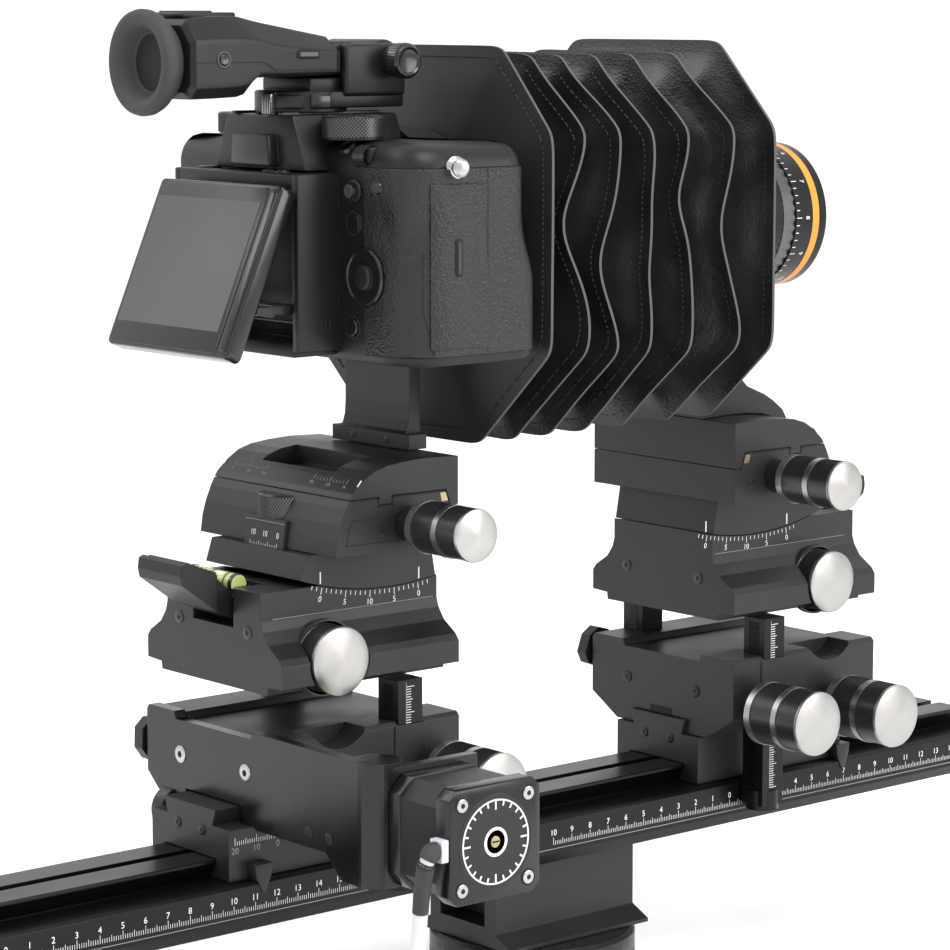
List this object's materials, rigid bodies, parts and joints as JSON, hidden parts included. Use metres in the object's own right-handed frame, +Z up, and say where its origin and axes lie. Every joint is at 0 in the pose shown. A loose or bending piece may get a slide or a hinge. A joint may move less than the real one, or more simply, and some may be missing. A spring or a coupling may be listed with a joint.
{
  "type": "monorail view camera",
  "caption": "Monorail technical view camera with leather bellows, geared standards, a mirrorless camera on the rear standard, a lens, and a focus motor with a coiled lead.",
  "frame": {"origin": "centre of the round base plate's bottom face, where it meets the tripod", "axes": "+Z up; the rail lies along Y, the lens looks along -Y and the camera body is at +Y; the control knobs are on the -X side"},
  "size_m": [0.2882, 0.533, 0.403],
  "materials": {
    "anodised": "satin black anodised",
    "rail": "satin black anodised",
    "silver": "spun bright",
    "knurl": "knurled black anodised",
    "motor": "painted",
    "plastic": "fine texture",
    "screen": "gloss",
    "rubber": "matte",
    "leather": "soft grained",
    "lens": "satin black anodised",
    "glass": "coated",
    "vial": "clear, green fluid",
    "cable": "smooth"
  },
  "bodies": {
    "base": {"base_plate": "anodised"},
    "turntable": {"turntable_disc": "knurl", "rail_clamp_block": "anodised"},
    "clamp_knob": {"rail_clamp_knob": "knurl"},
    "rail": {"rail_main": "rail", "rail_extension": "rail"},
    "rear_carriage": {"rear_rail_carriage": "anodised"},
    "rear_focus": {"rear_focus_block": "anodised", "motor_bracket": "anodised", "motor_body": "motor", "motor_plug": "plastic", "motor_cable": "cable", "cable_coil": "cable", "cable_plug": "plastic"},
    "rear_rise": {"rear_post_near": "rail", "rear_post_far": "rail", "rear_tilt_block": "anodised", "bubble_level": "vial"},
    "rear_tilt": {"rear_tilt_cradle": "anodised"},
    "rear_swing": {"rear_swing_block": "anodised"},
    "rear_shift": {"rear_shift_slide": "anodised", "camera_bracket": "anodised", "camera_body": "plastic"},
    "rear_rise_knob": {"rear_rise_knob": "knurl"},
    "rear_tilt_knob": {"rear_tilt_knob": "silver"},
    "rear_shift_knob": {"rear_shift_knob": "knurl"},
    "rear_focus_lever": {"rear_focus_lever": "plastic"},
    "rear_level_lever": {"rear_level_lever": "plastic"},
    "front_carriage": {"front_rail_carriage": "anodised"},
    "front_focus": {"front_focus_block": "anodised"},
    "front_rise": {"front_post_near": "rail", "front_post_far": "rail", "front_tilt_block": "anodised"},
    "front_tilt": {"front_tilt_cradle": "anodised"},
    "front_swing": {"front_swing_block": "anodised"},
    "front_shift": {"front_shift_slide": "anodised", "lens_frame": "anodised", "lens_barrel": "lens", "lens_glass": "glass", "bellows": "leather"},
    "front_rise_knob": {"front_rise_knob": "knurl"},
    "front_tilt_knob": {"front_tilt_knob": "silver"},
    "front_shift_knob": {"front_shift_knob": "knurl"},
    "front_focus_lever": {"front_focus_lever": "plastic"},
    "front_level_lever": {"front_level_lever": "plastic"},
    "front_focus_knob": {"front_focus_knob": "knurl"},
    "motor_shaft": {"motor_shaft": "silver"},
    "card_door": {"card_door": "plastic"},
    "monitor_panel": {"monitor_panel": "screen"},
    "monitor_arm": {"monitor_arm": "plastic"},
    "dial_right": {"dial_right": "knurl"},
    "dial_left": {"dial_left": "knurl"},
    "menu_pad": {"menu_pad": "plastic"},
    "joystick": {"joystick": "plastic"},
    "display_button": {"display_button": "plastic"},
    "evf_swivel": {"evf_swivel": "plastic"},
    "evf_lock_knob": {"evf_lock_knob": "knurl"},
    "lens_focus_ring": {"lens_focus_ring": "lens"},
    "evf": {"evf_body": "plastic", "evf_eyecup": "rubber"}
  },
  "joints": [
    {"name": "panorama_turn", "type": "hinge", "parent": "base", "child": "turntable", "pos_m": [0, 0, 0], "axis": [0, 0, 1], "continuous": true},
    {"name": "rail_slide", "type": "slide", "parent": "turntable", "child": "rail", "axis": [0, 1, 0], "range_m": [-0.055, 0.08]},
    {"name": "rear_carriage_slide", "type": "slide", "parent": "rail", "child": "rear_carriage", "axis": [0, 1, 0], "range_m": [-0.01, 0.04], "deforming": ["bellows"]},
    {"name": "rear_focus_slide", "type": "slide", "parent": "rear_carriage", "child": "rear_focus", "axis": [0, 1, 0], "range_m": [-0.012, 0.02], "deforming": ["bellows"]},
    {"name": "rear_rise", "type": "slide", "parent": "rear_focus", "child": "rear_rise", "axis": [0, 0, 1], "range_m": [-0.015, 0.02], "deforming": ["bellows"]},
    {"name": "rear_tilt", "type": "hinge", "parent": "rear_rise", "child": "rear_tilt", "pos_m": [0, 0.1005, 0.317], "axis": [1, 0, 0], "range_deg": [-10, 10], "deforming": ["bellows"]},
    {"name": "rear_swing", "type": "hinge", "parent": "rear_tilt", "child": "rear_swing", "pos_m": [0, 0.1005, 0.317], "axis": [0, 0, 1], "range_deg": [-15, 15], "deforming": ["bellows"]},
    {"name": "rear_shift", "type": "slide", "parent": "rear_swing", "child": "rear_shift", "axis": [1, 0, 0], "range_m": [-0.02, 0.02], "deforming": ["bellows"]},
    {"name": "front_carriage_slide", "type": "slide", "parent": "rail", "child": "front_carriage", "axis": [0, -1, 0], "range_m": [-0.01, 0.04], "deforming": ["bellows"]},
    {"name": "front_focus_slide", "type": "slide", "parent": "front_carriage", "child": "front_focus", "axis": [0, -1, 0], "range_m": [-0.012, 0.02], "deforming": ["bellows"]},
    {"name": "front_rise", "type": "slide", "parent": "front_focus", "child": "front_rise", "axis": [0, 0, 1], "range_m": [-0.015, 0.02], "deforming": ["bellows"]},
    {"name": "front_tilt", "type": "hinge", "parent": "front_rise", "child": "front_tilt", "pos_m": [0, -0.0973, 0.317], "axis": [1, 0, 0], "range_deg": [-10, 10], "deforming": ["bellows"]},
    {"name": "front_swing", "type": "hinge", "parent": "front_tilt", "child": "front_swing", "pos_m": [0, -0.0973, 0.317], "axis": [0, 0, 1], "range_deg": [-15, 15], "deforming": ["bellows"]},
    {"name": "front_shift", "type": "slide", "parent": "front_swing", "child": "front_shift", "axis": [1, 0, 0], "range_m": [-0.02, 0.02], "deforming": ["bellows"]},
    {"name": "rear_rise_knob_turn", "type": "hinge", "parent": "rear_focus", "child": "rear_rise_knob", "pos_m": [-0.06, 0.0877, 0.1113], "axis": [1, 0, 0], "range_deg": [-260, 345]},
    {"name": "rear_tilt_knob_turn", "type": "hinge", "parent": "rear_rise", "child": "rear_tilt_knob", "pos_m": [-0.04, 0.1344, 0.1602], "axis": [1, 0, 0], "range_deg": [-305, 305]},
    {"name": "rear_shift_knob_turn", "type": "hinge", "parent": "rear_swing", "child": "rear_shift_knob", "pos_m": [-0.06, 0.1005, 0.209], "axis": [1, 0, 0], "range_deg": [-365, 365]},
    {"name": "front_rise_knob_turn", "type": "hinge", "parent": "front_focus", "child": "front_rise_knob", "pos_m": [-0.06, -0.0845, 0.1113], "axis": [1, 0, 0], "range_deg": [-260, 345]},
    {"name": "front_tilt_knob_turn", "type": "hinge", "parent": "front_rise", "child": "front_tilt_knob", "pos_m": [-0.04, -0.1312, 0.1602], "axis": [1, 0, 0], "range_deg": [-305, 305]},
    {"name": "front_shift_knob_turn", "type": "hinge", "parent": "front_swing", "child": "front_shift_knob", "pos_m": [-0.06, -0.0973, 0.209], "axis": [1, 0, 0], "range_deg": [-365, 365]},
    {"name": "front_focus_knob_turn", "type": "hinge", "parent": "front_focus", "child": "front_focus_knob", "pos_m": [-0.06, -0.1318, 0.108], "axis": [1, 0, 0], "range_deg": [-220, 365]},
    {"name": "motor_shaft_turn", "type": "hinge", "parent": "rear_focus", "child": "motor_shaft", "pos_m": [-0.06, 0.1346, 0.1083], "axis": [1, 0, 0], "range_deg": [-220, 365]},
    {"name": "rear_focus_lock", "type": "hinge", "parent": "rear_focus", "child": "rear_focus_lever", "pos_m": [0.047, 0.1185, 0.115], "axis": [1, 0, 0], "range_deg": [-25, 25]},
    {"name": "front_focus_lock", "type": "hinge", "parent": "front_focus", "child": "front_focus_lever", "pos_m": [0.047, -0.1153, 0.115], "axis": [1, 0, 0], "range_deg": [-25, 25]},
    {"name": "rear_level_lever_lift", "type": "hinge", "parent": "rear_rise", "child": "rear_level_lever", "pos_m": [0, 0.1525, 0.177], "axis": [1, 0, 0], "range_deg": [-12, 0]},
    {"name": "front_level_lever_lift", "type": "hinge", "parent": "front_rise", "child": "front_level_lever", "pos_m": [0, -0.1493, 0.177], "axis": [-1, 0, 0], "range_deg": [-12, 0]},
    {"name": "monitor_tilt", "type": "hinge", "parent": "rear_shift", "child": "monitor_panel", "pos_m": [0, 0.15, 0.336], "axis": [1, 0, 0], "range_deg": [-12, 25]},
    {"name": "monitor_arm_swing", "type": "hinge", "parent": "rear_shift", "child": "monitor_arm", "pos_m": [0, 0.1385, 0.292], "axis": [1, 0, 0], "range_deg": [-70, 85]},
    {"name": "evf_swivel_turn", "type": "hinge", "parent": "rear_shift", "child": "evf_swivel", "pos_m": [0, 0.118, 0.368], "axis": [0, 0, 1], "range_deg": [-45, 45]},
    {"name": "evf_tilt", "type": "hinge", "parent": "evf_swivel", "child": "evf", "pos_m": [0, 0.09, 0.383], "axis": [1, 0, 0], "range_deg": [0, 90]},
    {"name": "card_door_swing", "type": "hinge", "parent": "rear_shift", "child": "card_door", "pos_m": [-0.0776, 0.0908, 0.309], "axis": [0, 0, 1], "range_deg": [0, 95]},
    {"name": "menu_pad_press", "type": "slide", "parent": "rear_shift", "child": "menu_pad", "axis": [0, -1, 0], "range_m": [0, 0.0002], "stiffness_N_per_m": 900},
    {"name": "joystick_press", "type": "slide", "parent": "rear_shift", "child": "joystick", "axis": [0, -1, 0], "range_m": [0, 0.0002], "stiffness_N_per_m": 900},
    {"name": "display_button_press", "type": "slide", "parent": "rear_shift", "child": "display_button", "axis": [0, -1, 0], "range_m": [0, 0.0002], "stiffness_N_per_m": 900},
    {"name": "lens_focus_turn", "type": "hinge", "parent": "front_shift", "child": "lens_focus_ring", "pos_m": [0, -0.0973, 0.315], "axis": [0, 1, 0], "range_deg": [-120, 120]},
    {"name": "dial_right_turn", "type": "hinge", "parent": "rear_shift", "child": "dial_right", "pos_m": [-0.031, 0.117, 0.36], "axis": [0, 0, 1], "continuous": true},
    {"name": "dial_left_turn", "type": "hinge", "parent": "rear_shift", "child": "dial_left", "pos_m": [0.036, 0.116, 0.36], "axis": [0, 0, 1], "continuous": true},
    {"name": "evf_lock_turn", "type": "hinge", "parent": "evf_swivel", "child": "evf_lock_knob", "pos_m": [-0.028, 0.09, 0.383], "axis": [1, 0, 0], "continuous": true},
    {"name": "clamp_knob_turn", "type": "hinge", "parent": "turntable", "child": "clamp_knob", "pos_m": [0.03, 0, 0.043], "axis": [1, 0, 0], "continuous": true}
  ],
  "couplings": [
    {"joint": "rear_rise_knob_turn", "follows": "rear_rise", "rad_per_m": 300},
    {"joint": "rear_tilt_knob_turn", "follows": "rear_tilt", "ratio": -30},
    {"joint": "rear_shift_knob_turn", "follows": "rear_shift", "rad_per_m": 314},
    {"joint": "front_rise_knob_turn", "follows": "front_rise", "rad_per_m": 300},
    {"joint": "front_tilt_knob_turn", "follows": "front_tilt", "ratio": -30},
    {"joint": "front_shift_knob_turn", "follows": "front_shift", "rad_per_m": 314},
    {"joint": "front_focus_knob_turn", "follows": "front_focus_slide", "rad_per_m": 314},
    {"joint": "motor_shaft_turn", "follows": "rear_focus_slide", "rad_per_m": 314},
    {"joint": "monitor_arm_swing", "follows": "monitor_tilt", "ratio": 3.3}
  ]
}
